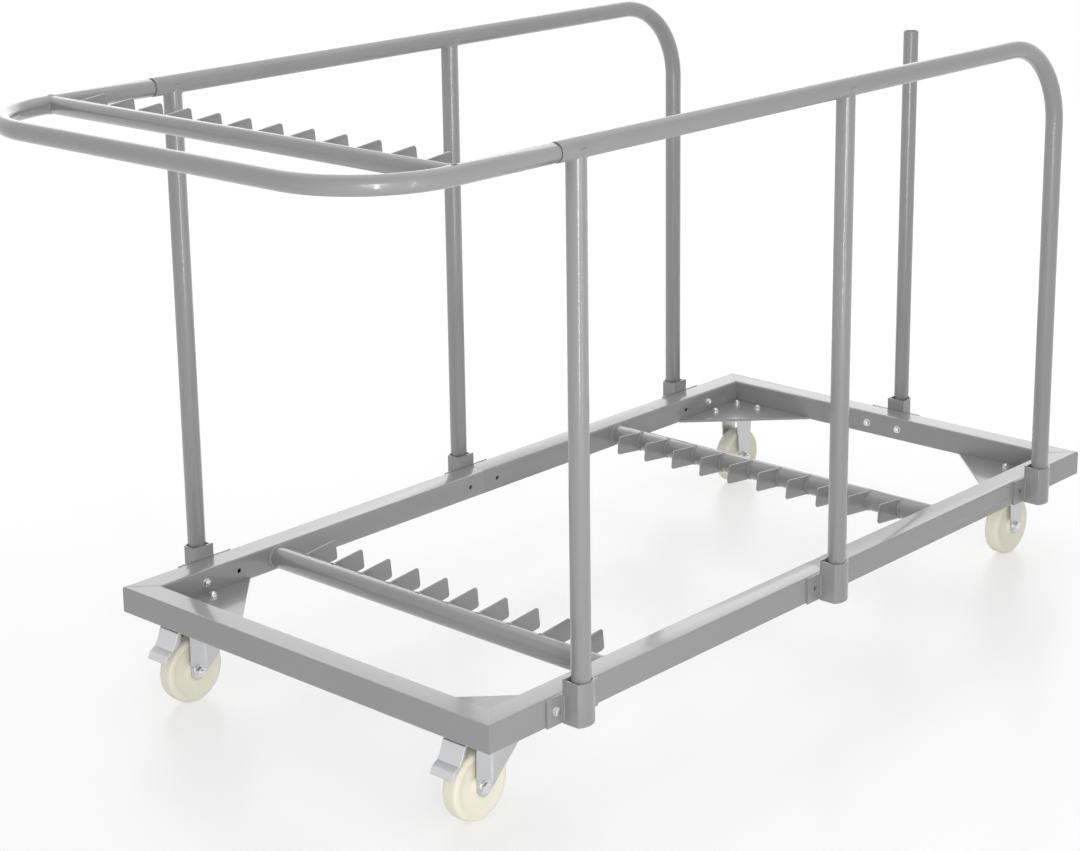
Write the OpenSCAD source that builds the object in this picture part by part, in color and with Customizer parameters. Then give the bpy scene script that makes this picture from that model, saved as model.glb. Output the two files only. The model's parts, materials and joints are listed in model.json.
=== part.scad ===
// Banquet table trolley: a square-tube base on four casters, tube side frames with a push
// handle, and combed cross bars that keep round folded tables standing apart on edge.
// Sizes are in millimetres. +X runs from the push handle to the rear, +Z is up.
// The origin is on the floor under the middle of the trolley's box.

/* [Base frame] */
// Length of the base frame over its end faces
base_l = 1800; // [1600:10:2200]
// Width of the base frame over its side faces
base_w = 920; // [840:10:1100]
// Side of the square tube
base_tube = 50; // [46:1:60]
// Wall of the square tube
base_wall = 2.5; // [2:0.25:4]
// Outer corner radius of the square tube
base_corner_r = 4; // [3:0.5:6]
// Length of the tubes that join the two halves inside the side members
splice_l = 200; // [140:10:300]
// Wall of the joining tubes
splice_wall = 2.5; // [2:0.25:4]
// Gap between a joining tube and the side member around it
splice_gap = 0.3; // [0.2:0.1:0.6]
// Reach of a corner gusset along each side, from the frame's outer corner
gusset_reach = 310; // [300:5:400]
// Thickness of a corner gusset
gusset_t = 5; // [4:0.5:8]

/* [Side frames] */
// Outer diameter of the posts and side rails
post_d = 34; // [30:0.5:38]
// Wall of the posts and side rails
post_wall = 2; // [1.5:0.25:3]
// Distance of the end posts from the middle of the base
post_reach = 706; // [600:2:760]
// Height of the rail's axis above the top of the base
rail_h = 895; // [700:5:1100]
// Bend radius of the rail where it turns down into the rear post
rail_bend_r = 168; // [120:2:220]
// Length of rail in front of the front post's axis
rail_lead = 19; // [19:1:60]

/* [Post sockets] */
// Play around a side post in its socket
socket_play = 1; // [0.5:0.25:1.5]
// Wall of the socket sleeve
socket_wall = 3; // [2:0.25:4]
// Thickness of the socket's back plate
plate_t = 3.5; // [3:0.25:6]
// Gap between a post and the back plate
back_gap = 1.5; // [1:0.25:3]
// Height of the sleeve above the top of the base
socket_rise = 24; // [15:1:60]
// Thickness of the floor that a post stands on
socket_floor = 3; // [2:0.5:6]
// Length of the back plate along the base
plate_l = 124; // [100:1:140]
// Distance between the two bolt holes of a back plate
hole_pitch = 80; // [74:1:90]
// Diameter of the bolt holes
hole_d = 9; // [8.5:0.1:10]

/* [Push handle] */
// Outer diameter of the handle tube
handle_d = 32; // [28:0.5:34]
// Wall of the handle tube
handle_wall = 2; // [1.5:0.25:3]
// Distance of the front grip's axis from the front posts
handle_reach = 449; // [380:1:560]
// Bend radius of the handle's corners
handle_bend_r = 175; // [120:5:220]
// Length of the spigot that plugs into the rail
spigot_l = 60; // [40:5:100]
// Play around the spigot inside the rail
spigot_play = 0.2; // [0.1:0.05:0.4]
// Distance of the upper comb bar's axis from the front grip's axis
upper_bar_back = 185; // [170:1:230]

/* [Comb bars] */
// Outer diameter of the two lower bars
lower_bar_d = 42; // [36:0.5:46]
// Wall of the two lower bars
lower_bar_wall = 2.5; // [2:0.25:4]
// Distance of the front lower bar from the middle of the base
front_bar_reach = 568; // [480:1:580]
// Distance of the rear lower bar from the middle of the base
rear_bar_reach = 427; // [340:1:480]
// Outer diameter of the upper bar
upper_bar_d = 31; // [28:0.5:32]
// Wall of the upper bar
upper_bar_wall = 2; // [1.5:0.25:3]
// Distance between neighbouring fins
fin_pitch = 75; // [60:1:76]
// Number of fins on a lower bar
lower_fins = 10; // [6:1:10]
// Number of fins on the upper bar
upper_fins = 12; // [6:1:12]
// Thickness of a fin
fin_t = 4; // [3:0.5:6]
// Length of a lower fin beyond its bar
lower_fin_l = 60; // [40:1:90]
// Height of a lower fin
lower_fin_h = 40; // [34:1:50]
// Depth of a lower fin's top edge below the top of its bar, above the bar's axis
lower_fin_drop = 0.5; // [0.5:0.5:4]
// Length of an upper fin beyond its bar
upper_fin_l = 49; // [35:1:70]
// Height of an upper fin
upper_fin_h = 28; // [22:1:32]
// Depth of an upper fin's top edge below the top of its bar, above the bar's axis
upper_fin_drop = 4; // [0.5:0.5:6]
// Upward tilt of the fins, in degrees
fin_tilt = 6; // [4:0.5:8]
// Radius of a fin's outer corners
fin_corner_r = 6; // [3:0.5:10]

/* [Rear post] */
// Outer diameter of the lift-out rear post
rear_post_d = 32; // [28:0.5:33]
// Wall of the rear post
rear_post_wall = 2; // [1.5:0.25:3]
// Height of the rear post above the top of the base
rear_post_h = 846; // [600:2:1000]

/* [Casters] */
// Diameter of the wheels
wheel_d = 125; // [110:1:140]
// Width of the wheel's tread
wheel_w = 32; // [28:1:36]
// Height of the mounting face above the top of the wheel
caster_rise = 40; // [36:1:50]
// Horizontal distance between swivel axis and axle
trail = 45; // [38:1:52]
// Distance of a caster plate's middle from the base's end face
caster_end = 112; // [108:1:118]
// Distance of a caster plate's middle from the base's side face
caster_side = 100; // [98:1:108]
// Length of a caster plate
caster_plate_l = 105; // [100:1:110]
// Width of a caster plate
caster_plate_w = 85; // [80:1:90]
// Thickness of the pressed caster sheet
sheet_t = 3; // [2.5:0.25:4]
// Bolt spacing of a caster plate along its length
caster_pitch_l = 80; // [78:0.5:84]
// Bolt spacing of a caster plate across its width
caster_pitch_w = 60; // [58:0.5:64]
// Clear width between the legs of a fork
fork_gap = 42; // [40:1:48]
// Radius of a fork leg's lower end
leg_r = 17; // [14:0.5:20]
// Distance of the swivel fork's rear edge behind the swivel axis
fork_back = 38; // [34:1:42]
// Height above the axle where the swivel fork's slanting edge ends
fork_knee = 54; // [46:1:60]
// Width of a fixed fork's leg under its plate
fixed_leg_w = 52; // [44:1:70]
// Radius of the ball race
race_r = 24; // [20:0.5:26]
// Diameter of the bearing balls
ball_d = 5; // [4:0.5:6]
// Number of balls in a race
ball_count = 16; // [10:1:18]
// Diameter of the king pin
king_pin_d = 12; // [10:0.5:14]
// Diameter of the axle bolt
axle_d = 12; // [8:0.5:12]
// Outer diameter of the axle bush
bush_d = 16; // [14.5:0.5:18]
// Running clearance around pins and bushes
run_gap = 0.1; // [0.06:0.02:0.1]
// Free gap between parts that turn past each other
side_gap = 0.4; // [0.3:0.1:0.8]

/* [Brake pedals] */
// Width of the pedal
pedal_w = 50; // [44:1:56]
// Height of the pedal pin above the tread
pedal_lift = 12; // [11:0.5:14]
// Thickness of the pedal sheet
pedal_t = 2.5; // [2:0.25:3]
// Diameter of the pedal pin
pedal_pin_d = 6; // [5:0.5:8]
// Angle that the pedal moves between free and braked, in degrees
pedal_travel = 6; // [4:0.5:7]

/* [Fasteners] */
// Diameter of the frame and caster bolts
bolt_d = 8; // [6:0.5:8]
// Width across the flats of their heads and nuts
bolt_flats = 13; // [12:0.5:14]
// Thickness of their heads
bolt_head_t = 5.3; // [4:0.1:6]
// Thickness of their nuts
bolt_nut_t = 6.5; // [5:0.1:8]
// Length of thread beyond a nut
bolt_tail = 2.5; // [1:0.5:5]

/* [Hidden] */
$fn = 64;

powder_grey = [0.62, 0.62, 0.61];
zinc = [0.82, 0.82, 0.83];
cream = [0.93, 0.90, 0.78];
eps = 0.01;

// Heights
base_z = wheel_d + caster_rise;
base_top = base_z + base_tube;
base_mid_z = base_z + base_tube / 2;
rail_z = base_top + rail_h;
socket_h = base_tube + socket_rise;
post_foot_z = base_z + socket_floor;

// Places along and across the base
post_off = plate_t + back_gap + post_d / 2;
post_y = base_w / 2 + post_off;
socket_in = post_d + 2 * socket_play;
socket_out = socket_in + 2 * socket_wall;
rail_front = post_reach + rail_lead;
grip_x = post_reach + handle_reach;
upper_bar_x = grip_x - upper_bar_back;
inner_w = base_w - 2 * base_tube;
caster_x = base_l / 2 - caster_end;
caster_y = base_w / 2 - caster_side;

// The box reaches from the front grip to the lift-out post's socket
front_end = grip_x + handle_d / 2;
rear_end = base_l / 2 + post_off + socket_out / 2;
origin_shift = (front_end - rear_end) / 2;

// Caster stack
axle_z = wheel_d / 2;
plate_z = base_z - sheet_t;
race_h = ball_d + 4;
crown_top = plate_z - race_h;
crown_z = crown_top - sheet_t;
ball_z = crown_top + race_h / 2;
fork_out = fork_gap / 2 + sheet_t;
rib_out = 2.5;
rib_w = 13;
race_half = 6;
race_slit = 2.2;
crown_r = race_r + race_half + 3;
pedal_pin_x = 2;
pedal_pin_up = wheel_d / 2 + pedal_lift;

module shifted() {
    translate([origin_shift, 0, 0]) children();
}

// Draws its child once on the right side; side 1 mirrors it to the left
module on_side(side) {
    shifted() mirror([0, side > 0 ? 1 : 0, 0]) children();
}

module tube(length, d, wall) {
    difference() {
        cylinder(h = length, d = d);
        translate([0, 0, -eps]) cylinder(h = length + 2 * eps, d = d - 2 * wall);
    }
}

// A tube bent from +X round to -Z, starting at the origin
module tube_bend(bend_r, d, wall, angle) {
    rotate_extrude(angle = angle, $fn = 96) translate([bend_r, 0]) difference() {
        circle(d = d);
        circle(d = d - 2 * wall);
    }
}

module rounded_square(side, r) {
    square([side - 2 * r, side], center = true);
    square([side, side - 2 * r], center = true);
    for (sx = [-1, 1], sy = [-1, 1]) {
        translate([sx * (side / 2 - r), sy * (side / 2 - r)]) circle(r = r);
    }
}

module square_tube(length, side, wall, r) {
    linear_extrude(height = length) difference() {
        rounded_square(side, r);
        rounded_square(side - 2 * wall, max(r - wall, 0.5));
    }
}

module hex(flats, height) {
    cylinder(h = height, d = flats / cos(30), $fn = 6);
}

// Base frame: two mitred halves that butt in the middle of the side members

// Two square tubes from an outer corner at the origin, along +X and +Y, mitred on the diagonal
module mitred_corner() {
    far = base_tube + 1;
    intersection() {
        translate([0, base_tube / 2, 0]) rotate([0, 90, 0])
            square_tube(base_l / 2, base_tube, base_wall, base_corner_r);
        linear_extrude(height = 2 * base_tube, center = true)
            polygon([[-1, -1], [base_l / 2 + 1, -1], [base_l / 2 + 1, far], [far, far]]);
    }
    intersection() {
        translate([base_tube / 2, 0, 0]) rotate([-90, 0, 0])
            square_tube(base_w / 2, base_tube, base_wall, base_corner_r);
        linear_extrude(height = 2 * base_tube, center = true)
            polygon([[-1, -1], [far, far], [far, base_w / 2 + 1], [-1, base_w / 2 + 1]]);
    }
}

// Holes through both walls of a side member for one socket at x
module side_holes(x) {
    for (sx = [-1, 1]) {
        translate([x + sx * hole_pitch / 2, base_w / 2 + 1, base_mid_z]) rotate([90, 0, 0])
            cylinder(h = base_w + 2, d = hole_d);
    }
}

module half_base() {
    difference() {
        for (my = [0, 1]) mirror([0, my, 0]) {
            translate([-base_l / 2, -base_w / 2, base_mid_z]) mitred_corner();
        }
        side_holes(-post_reach);
        side_holes(0);
    }
}

module base_front_half() {
    color(powder_grey) shifted() half_base();
}

module base_rear_half() {
    color(powder_grey) shifted() difference() {
        mirror([1, 0, 0]) half_base();
        for (sy = [-1, 1]) {
            translate([base_l / 2 - base_tube - 1, sy * hole_pitch / 2, base_mid_z])
                rotate([0, 90, 0]) cylinder(h = base_tube + 2, d = hole_d);
        }
    }
}

module splice_tubes() {
    side = base_tube - 2 * base_wall - 2 * splice_gap;
    color(powder_grey) shifted() difference() {
        for (sy = [-1, 1]) {
            translate([-splice_l / 2, sy * (base_w - base_tube) / 2, base_mid_z])
                rotate([0, 90, 0]) square_tube(splice_l, side, splice_wall, base_corner_r);
        }
        side_holes(0);
    }
}

// Corner gussets, flush with the underside of the base, drilled for the casters

module gusset_shape() {
    inner = gusset_reach - base_tube;
    polygon([[base_tube, base_tube], [inner, base_tube], [base_tube, inner]]);
}

module caster_holes(d) {
    for (sx = [-1, 1], sy = [-1, 1]) {
        translate([sx * caster_pitch_l / 2, sy * caster_pitch_w / 2]) circle(d = d);
    }
}

// Puts its child at each of the four base corners, drawn from the outer corner inwards
module at_corners() {
    for (mx = [0, 1], my = [0, 1]) {
        mirror([mx, 0, 0]) mirror([0, my, 0]) translate([-base_l / 2, -base_w / 2, base_z])
            children();
    }
}

module corner_gussets() {
    color(powder_grey) shifted() at_corners() linear_extrude(height = gusset_t) difference() {
        gusset_shape();
        translate([caster_end, caster_side]) caster_holes(hole_d);
    }
}

// Post sockets: a D-shaped sleeve with its flanged back plate, drawn with the base's outer
// face as the plane y = 0, the post outwards along +Y and the underside at z = 0

module d_shape(width, back) {
    translate([-width / 2, back]) square([width, post_off - back]);
    translate([0, post_off]) circle(d = width);
}

module socket() {
    difference() {
        union() {
            translate([-plate_l / 2, 0, 0]) cube([plate_l, plate_t, base_tube]);
            linear_extrude(height = socket_h) d_shape(socket_out, 0);
        }
        translate([0, 0, socket_floor]) linear_extrude(height = socket_h)
            d_shape(socket_in, plate_t);
        for (sx = [-1, 1]) {
            translate([sx * hole_pitch / 2, plate_t + 1, base_tube / 2]) rotate([90, 0, 0])
                cylinder(h = plate_t + 2, d = hole_d);
        }
    }
}

// Socket on the right side at x
module side_socket(x, side) {
    color(powder_grey) on_side(side) translate([x, -base_w / 2, base_z]) rotate([0, 0, 180])
        socket();
}

module lift_out_post_socket() {
    color(powder_grey) shifted() translate([base_l / 2, 0, base_z]) rotate([0, 0, -90])
        socket();
}

// Side frames

// Post on the right side at x, coped under the rail
module side_post(x, side) {
    color(powder_grey) on_side(side) difference() {
        translate([x, -post_y, post_foot_z]) tube(rail_z - post_foot_z, post_d, post_wall);
        translate([-rail_front, -post_y, rail_z]) rotate([0, 90, 0])
            cylinder(h = 2 * rail_front, d = post_d);
    }
}

// Rail on the right side, bent down at the rear into the rear post
module side_rail(side) {
    straight = rail_front + post_reach - rail_bend_r;
    drop = rail_z - rail_bend_r - post_foot_z;
    color(powder_grey) on_side(side) translate([0, -post_y, 0]) {
        translate([-rail_front, 0, rail_z]) rotate([0, 90, 0])
            tube(straight, post_d, post_wall);
        translate([post_reach - rail_bend_r, 0, rail_z - rail_bend_r]) rotate([90, 0, 0])
            tube_bend(rail_bend_r, post_d, post_wall, 90);
        translate([post_reach, 0, post_foot_z]) tube(drop, post_d, post_wall);
    }
}

module push_handle() {
    side_l = handle_reach - rail_lead - handle_bend_r;
    spigot_d = post_d - 2 * post_wall - 2 * spigot_play;
    color(powder_grey) shifted() translate([0, 0, rail_z]) {
        for (my = [0, 1]) mirror([0, my, 0]) {
            translate([handle_bend_r - grip_x, -post_y, 0]) rotate([0, 90, 0])
                tube(side_l, handle_d, handle_wall);
            translate([-rail_front, -post_y, 0]) rotate([0, 90, 0])
                spigot(spigot_d);
            translate([handle_bend_r - grip_x, handle_bend_r - post_y, 0]) rotate([0, 0, 180])
                tube_bend(handle_bend_r, handle_d, handle_wall, 90);
        }
        translate([-grip_x, handle_bend_r - post_y, 0]) rotate([-90, 0, 0])
            tube(2 * (post_y - handle_bend_r), handle_d, handle_wall);
    }
}

// Swaged end of the handle tube, with the shoulder that meets the rail's end
module spigot(d) {
    wall = min(handle_wall, d / 4);
    translate([0, 0, -handle_wall]) difference() {
        union() {
            cylinder(h = handle_wall, d = handle_d - handle_wall);
            cylinder(h = spigot_l + handle_wall, d = d);
        }
        translate([0, 0, -eps]) cylinder(h = spigot_l + handle_wall + 1, d = d - 2 * wall);
    }
}

// Comb bars

// Fin drawn in the X-Z plane from its bar's axis at the origin, pointing along +X
module fin(bar_d, reach, height, drop) {
    tip = bar_d / 2 + reach;
    r = fin_corner_r;
    rotate([90, 0, 0]) linear_extrude(height = fin_t, center = true) difference() {
        translate([0, bar_d / 2 - drop]) rotate(fin_tilt) union() {
            translate([0, -height]) square([tip - r, height]);
            translate([0, r - height]) square([tip, height - 2 * r]);
            translate([tip - r, -r]) circle(r = r);
            translate([tip - r, r - height]) circle(r = r);
        }
        circle(d = bar_d);
        translate([-bar_d, -bar_d]) square([bar_d, 2 * bar_d]);
    }
}

module fin_row(count, bar_d, reach, height, drop) {
    for (i = [0 : count - 1]) {
        translate([0, (i - (count - 1) / 2) * fin_pitch, 0]) fin(bar_d, reach, height, drop);
    }
}

module lower_bar(x) {
    color(powder_grey) shifted() translate([x, inner_w / 2, base_mid_z]) rotate([90, 0, 0])
        tube(inner_w, lower_bar_d, lower_bar_wall);
}

module front_lower_fins() {
    color(powder_grey) shifted() translate([-front_bar_reach, 0, base_mid_z])
        fin_row(lower_fins, lower_bar_d, lower_fin_l, lower_fin_h, lower_fin_drop);
}

module rear_lower_fins() {
    color(powder_grey) shifted() translate([rear_bar_reach, 0, base_mid_z]) mirror([1, 0, 0])
        fin_row(lower_fins, lower_bar_d, lower_fin_l, lower_fin_h, lower_fin_drop);
}

// Upper bar, coped against the handle's side tubes
module upper_bar() {
    color(powder_grey) shifted() translate([-upper_bar_x, 0, rail_z]) difference() {
        translate([0, post_y, 0]) rotate([90, 0, 0])
            tube(2 * post_y, upper_bar_d, upper_bar_wall);
        for (sy = [-1, 1]) {
            translate([-upper_bar_d, sy * post_y, 0]) rotate([0, 90, 0])
                cylinder(h = 2 * upper_bar_d, d = handle_d);
            translate([-upper_bar_d, sy * (post_y + handle_d) - handle_d, -handle_d])
                cube([2 * upper_bar_d, 2 * handle_d, 2 * handle_d]);
        }
    }
}

module upper_fins_comb() {
    color(powder_grey) shifted() translate([-upper_bar_x, 0, rail_z])
        fin_row(upper_fins, upper_bar_d, upper_fin_l, upper_fin_h, upper_fin_drop);
}

module rear_lift_out_post() {
    foot_z = post_foot_z + side_gap;
    color(powder_grey) shifted() translate([base_l / 2 + post_off, 0, foot_z])
        tube(base_top + rear_post_h - foot_z, rear_post_d, rear_post_wall);
}

// Fasteners of the frame

// Bolt along -Z from the underside of its head at the origin, which lies above
module hex_bolt(grip) {
    hex(bolt_flats, bolt_head_t);
    translate([0, 0, -grip - bolt_nut_t - bolt_tail])
        cylinder(h = grip + bolt_nut_t + bolt_tail + eps, d = bolt_d);
}

module hex_nut() {
    difference() {
        hex(bolt_flats, bolt_nut_t);
        translate([0, 0, -eps]) cylinder(h = bolt_nut_t + 2 * eps, d = bolt_d);
    }
}

// Puts its child at each socket bolt, on the base's outer face with +Z outwards
module at_socket_bolts() {
    for (my = [0, 1], sx = [-1, 1]) {
        mirror([0, my, 0]) translate([sx * (post_reach + hole_pitch / 2), -base_w / 2, base_mid_z])
            rotate([90, 0, 0]) children();
    }
    for (sy = [-1, 1]) {
        translate([base_l / 2, sy * hole_pitch / 2, base_mid_z]) rotate([0, 90, 0]) children();
    }
}

module socket_bolts() {
    color(zinc) shifted() at_socket_bolts() translate([0, 0, plate_t])
        hex_bolt(plate_t + base_tube);
}

module socket_nuts() {
    color(zinc) shifted() at_socket_bolts() translate([0, 0, -base_tube - bolt_nut_t])
        hex_nut();
}

// Puts its child at each caster bolt, on the underside of the caster plate. The hole nearest
// the middle of the base stays empty.
module at_caster_bolts() {
    at_corners() for (s = [[-1, -1], [-1, 1], [1, -1]]) {
        translate([caster_end + s[0] * caster_pitch_l / 2,
            caster_side + s[1] * caster_pitch_w / 2, 0]) children();
    }
}

module caster_bolts() {
    color(zinc) shifted() at_caster_bolts() translate([0, 0, -sheet_t]) rotate([180, 0, 0])
        hex_bolt(sheet_t + gusset_t);
}

module caster_nuts() {
    color(zinc) shifted() at_caster_bolts() translate([0, 0, gusset_t]) hex_nut();
}

// Casters, drawn for the right side with the plate's middle on the Z axis and the floor at
// z = 0. The axle of a swivel caster trails towards -X.

module at_caster(end, side) {
    on_side(side) translate([end * caster_x, -caster_y, 0]) children();
}

module plate_blank() {
    linear_extrude(height = sheet_t) difference() {
        square([caster_plate_l, caster_plate_w], center = true);
        caster_holes(hole_d);
    }
}

module race_ring(z, height) {
    translate([0, 0, z]) rotate_extrude() translate([race_r - race_half, 0])
        square([2 * race_half, height]);
}

module ball_groove(play) {
    translate([0, 0, ball_z]) rotate_extrude() translate([race_r, 0])
        circle(d = ball_d + 2 * play);
}

// Plate of a swivel caster with its upper ball race
module swivel_plate(side) {
    ring_h = (race_h - race_slit) / 2;
    color(zinc) at_caster(-1, side) difference() {
        union() {
            translate([0, 0, plate_z]) plate_blank();
            race_ring(plate_z - ring_h, ring_h);
        }
        ball_groove(side_gap);
        translate([0, 0, crown_top]) cylinder(h = race_h + 2 * sheet_t, d = king_pin_d);
    }
}

module king_pin(side) {
    head_t = 4;
    head_z = crown_z - side_gap - head_t;
    color(zinc) at_caster(-1, side) {
        translate([0, 0, head_z]) cylinder(h = base_z - head_z, d = king_pin_d);
        translate([0, 0, head_z]) cylinder(h = head_t, d = 2 * king_pin_d);
    }
}

module race_balls(side) {
    color(zinc) at_caster(-1, side) for (i = [0 : ball_count - 1]) {
        rotate([0, 0, i * 360 / ball_count]) translate([race_r, 0, ball_z])
            sphere(d = ball_d, $fn = 24);
    }
}

// Outline of a swivel fork's leg in the X-Z plane, with the axle at the origin: a straight
// front edge, a round end, and a rear edge that slants up to the knee behind the swivel axis
function knee_x() = trail + fork_back;
function knee_reach() = norm([knee_x(), fork_knee]);
function slant_angle() = atan2(fork_knee, knee_x()) + asin(leg_r / knee_reach());
function slant_foot() = leg_r * [sin(slant_angle()), -cos(slant_angle())];

module swivel_leg_shape(top) {
    circle(r = leg_r);
    polygon([[0, 0], [-leg_r, 0], [-leg_r, top], [knee_x(), top], [knee_x(), fork_knee],
        slant_foot()]);
}

// Band inside the slanting edge that is pressed outwards to stiffen the leg
module rib_shape(top, inset) {
    intersection() {
        swivel_leg_shape(top);
        translate(slant_foot()) rotate(slant_angle()) translate([leg_r / 2 + inset, inset])
            square([2 * knee_x(), rib_w - 2 * inset]);
    }
}

// Right leg of a swivel fork, with the pressed rib
module swivel_leg() {
    top = crown_top - axle_z;
    translate([0, -fork_gap / 2, 0]) rotate([90, 0, 0]) difference() {
        union() {
            linear_extrude(height = sheet_t) swivel_leg_shape(top);
            linear_extrude(height = sheet_t + rib_out) rib_shape(top, 0);
        }
        translate([0, 0, -eps]) linear_extrude(height = rib_out + eps) rib_shape(top, sheet_t);
    }
}

module fork_holes() {
    translate([0, fork_out + rib_out + 1, 0]) rotate([90, 0, 0])
        cylinder(h = 2 * (fork_out + rib_out + 1), d = axle_d + run_gap);
}

module swivel_fork(side) {
    ring_h = (race_h - race_slit) / 2;
    color(zinc) at_caster(-1, side) difference() {
        union() {
            translate([-trail, 0, axle_z]) {
                swivel_leg();
                mirror([0, 1, 0]) swivel_leg();
            }
            translate([-trail - leg_r, -fork_out, crown_z])
                cube([leg_r + knee_x(), 2 * fork_out, sheet_t]);
            translate([0, 0, crown_z]) cylinder(h = sheet_t, r = crown_r);
            race_ring(crown_top, ring_h);
        }
        ball_groove(run_gap / 2);
        translate([0, 0, crown_z - 1]) cylinder(h = race_h + sheet_t, d = king_pin_d + 2 * run_gap);
        translate([-trail, 0, axle_z]) fork_holes();
        translate([pedal_pin_x - trail, fork_out + 1, axle_z + pedal_pin_up]) rotate([90, 0, 0])
            cylinder(h = 2 * fork_out + 2, d = pedal_pin_d);
    }
}

// Fork of a fixed caster: straight legs that narrow to the round end, under a flat crown
module fixed_leg_shape(top) {
    half = fixed_leg_w / 2;
    reach = norm([half, top]);
    lean = atan2(half, top) - asin(leg_r / reach);
    circle(r = leg_r);
    polygon([[-leg_r * cos(lean), -leg_r * sin(lean)], [-half, top], [half, top],
        [leg_r * cos(lean), -leg_r * sin(lean)]]);
}

module fixed_fork(side) {
    top = plate_z - axle_z;
    color(zinc) at_caster(1, side) difference() {
        union() {
            for (sy = [-1, 1]) {
                translate([0, sy * (fork_gap / 2 + sheet_t / 2) + sheet_t / 2, axle_z])
                    rotate([90, 0, 0]) linear_extrude(height = sheet_t) fixed_leg_shape(top);
            }
            translate([-fixed_leg_w / 2, -fork_out, plate_z - sheet_t])
                cube([fixed_leg_w, 2 * fork_out, sheet_t]);
        }
        translate([0, 0, axle_z]) fork_holes();
    }
}

module fixed_plate(side) {
    color(zinc) at_caster(1, side) translate([0, 0, plate_z]) plate_blank();
}

// Places its child on the axle with Z along the axle, pointing outwards on the right side
module at_axle(end, side) {
    at_caster(end, side) translate([end < 0 ? -trail : 0, 0, axle_z]) rotate([90, 0, 0])
        children();
}

// Wheel: rounded tread, recessed web and a hub that fills the fork
module wheel(end, side) {
    r = wheel_d / 2;
    half = wheel_w / 2;
    edge_r = 4;
    rim = 13;
    web_half = half - 4;
    hub_r = bush_d / 2 + 10;
    hub_half = fork_gap / 2 - side_gap;
    color(cream) at_axle(end, side) difference() {
        rotate_extrude($fn = 96) {
            translate([0, -half]) square([r - edge_r, wheel_w]);
            translate([0, edge_r - half]) square([r, wheel_w - 2 * edge_r]);
            for (sy = [-1, 1]) {
                translate([r - edge_r, sy * (half - edge_r)]) circle(r = edge_r);
            }
            translate([0, -hub_half]) square([hub_r, 2 * hub_half]);
        }
        for (my = [0, 1]) mirror([0, 0, my]) rotate_extrude($fn = 96) polygon([
            [hub_r, half + 1], [hub_r, web_half], [r - rim - 4, web_half], [r - rim, half + 1]]);
        translate([0, 0, -fork_gap]) cylinder(h = 2 * fork_gap, d = bush_d + 2 * run_gap);
    }
}

module axle_bush(end, side) {
    color(zinc) at_axle(end, side) translate([0, 0, -fork_gap / 2])
        tube(fork_gap, bush_d, (bush_d - axle_d - run_gap) / 2);
}

module axle_bolt(end, side) {
    flats = 1.5 * axle_d;
    head_t = 0.6 * axle_d;
    nut_t = 0.8 * axle_d;
    tail = 3;
    color(zinc) at_axle(end, side) {
        translate([0, 0, fork_out]) hex(flats, head_t);
        translate([0, 0, -fork_out - nut_t - tail])
            cylinder(h = 2 * fork_out + nut_t + tail + eps, d = axle_d);
        translate([0, 0, -fork_out - nut_t]) difference() {
            hex(flats, nut_t);
            translate([0, 0, -eps]) cylinder(h = nut_t + 2 * eps, d = axle_d);
        }
    }
}

// Brake pedal: a folded sheet that reaches over the tread, with a shoe under it. It is drawn
// in the X-Z plane from its pin, and the shoe is curved to seat on the tread when pressed.

pedal_fold = [[-20, 4], [-46, 14], [-51, -2], [-62, -20], [-71, -27], [-79, -38]];
pedal_boss_d = pedal_pin_d + 6;
pedal_in_w = fork_gap - 4;
shoe_front = -48;
shoe_back = -30;
shoe_depth = 28;
shoe_w = 28;
shoe_gap = 0.5;

function unit(v) = v / norm(v);
function left_of(v) = [-v[1], v[0]];

// Side point of a strip at path point i, mitred between the two runs that meet there
function mitre(path, i, d) =
    let (before = unit(path[max(i, 1)] - path[max(i, 1) - 1]),
        last = len(path) - 1,
        after = unit(path[min(i, last - 1) + 1] - path[min(i, last - 1)]),
        side = unit(left_of(before) + left_of(after)))
    path[i] + side * d / (side * left_of(before));

module sheet_strip(path, t) {
    last = len(path) - 1;
    polygon(concat([for (i = [0 : last]) mitre(path, i, t / 2)],
        [for (i = [last : -1 : 0]) mitre(path, i, -t / 2)]));
}

function on_line(a, b, x) = [x, a[1] + (b[1] - a[1]) * (x - a[0]) / (b[0] - a[0])];

module shoe_shape() {
    polygon([on_line(pedal_fold[0], pedal_fold[1], shoe_back), pedal_fold[1],
        on_line(pedal_fold[1], pedal_fold[2], shoe_front),
        [shoe_front, -shoe_depth], [shoe_back, -shoe_depth]]);
}

module across(width) {
    rotate([90, 0, 0]) linear_extrude(height = width, center = true) children();
}

module brake_pedal(side) {
    pressed = pedal_travel;
    wheel_at = [-pedal_pin_x, -pedal_pin_up];
    tread_at = [wheel_at[0] * cos(pressed) + wheel_at[1] * sin(pressed),
        wheel_at[1] * cos(pressed) - wheel_at[0] * sin(pressed)];
    color(zinc) at_caster(-1, side)
        translate([pedal_pin_x - trail, 0, axle_z + pedal_pin_up]) difference() {
            union() {
                across(pedal_w) sheet_strip(pedal_fold, pedal_t);
                across(pedal_in_w) sheet_strip([[0, 0], pedal_fold[0] - [1, 0]], pedal_t);
                across(pedal_in_w) circle(d = pedal_boss_d);
                across(shoe_w) shoe_shape();
            }
            across(pedal_w + 2) translate(tread_at) circle(d = wheel_d + 2 * shoe_gap, $fn = 96);
            across(pedal_w + 2) circle(d = pedal_pin_d + 2 * run_gap);
        }
}

module pedal_pin(side) {
    head_t = 2;
    color(zinc) at_caster(-1, side)
        translate([pedal_pin_x - trail, 0, axle_z + pedal_pin_up]) {
            across(2 * fork_out) circle(d = pedal_pin_d);
            for (sy = [-1, 1]) translate([0, sy * (fork_out + head_t / 2), 0])
                across(head_t) circle(d = pedal_pin_d + 4);
        }
}

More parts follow.
